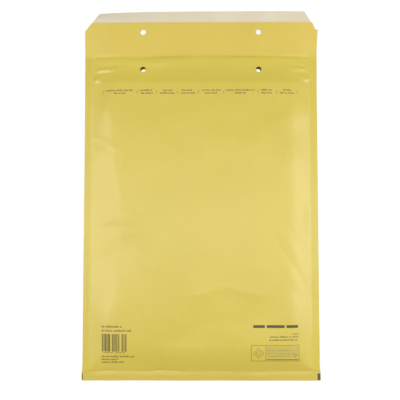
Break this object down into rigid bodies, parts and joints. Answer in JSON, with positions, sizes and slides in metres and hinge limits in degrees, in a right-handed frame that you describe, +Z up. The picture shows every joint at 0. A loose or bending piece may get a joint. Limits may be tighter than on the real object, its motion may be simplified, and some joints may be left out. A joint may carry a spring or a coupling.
{
  "type": "padded envelope",
  "caption": "Padded kraft envelope with a bubble film lining, lying open and empty, with punched holes and a peel-off closing strip on its flap.",
  "frame": {"origin": "middle of the outline, on the surface that the envelope lies on", "axes": "+X to the right across the envelope, +Y along it from the bottom towards the flap, +Z up out of the front panel"},
  "size_m": [0.25, 0.3936, 0.0123],
  "materials": {
    "kraft": "satin machine-glazed kraft paper, golden yellow-brown",
    "film": "clear glossy bubble film",
    "adhesive": "tacky hot-melt film",
    "liner": "smooth silicone-coated cream paper"
  },
  "bodies": {
    "root": {"kraft_envelope": "kraft", "bubble_lining": "film", "adhesive_strip": "adhesive", "release_liner": "liner"}
  },
  "joints": []
}
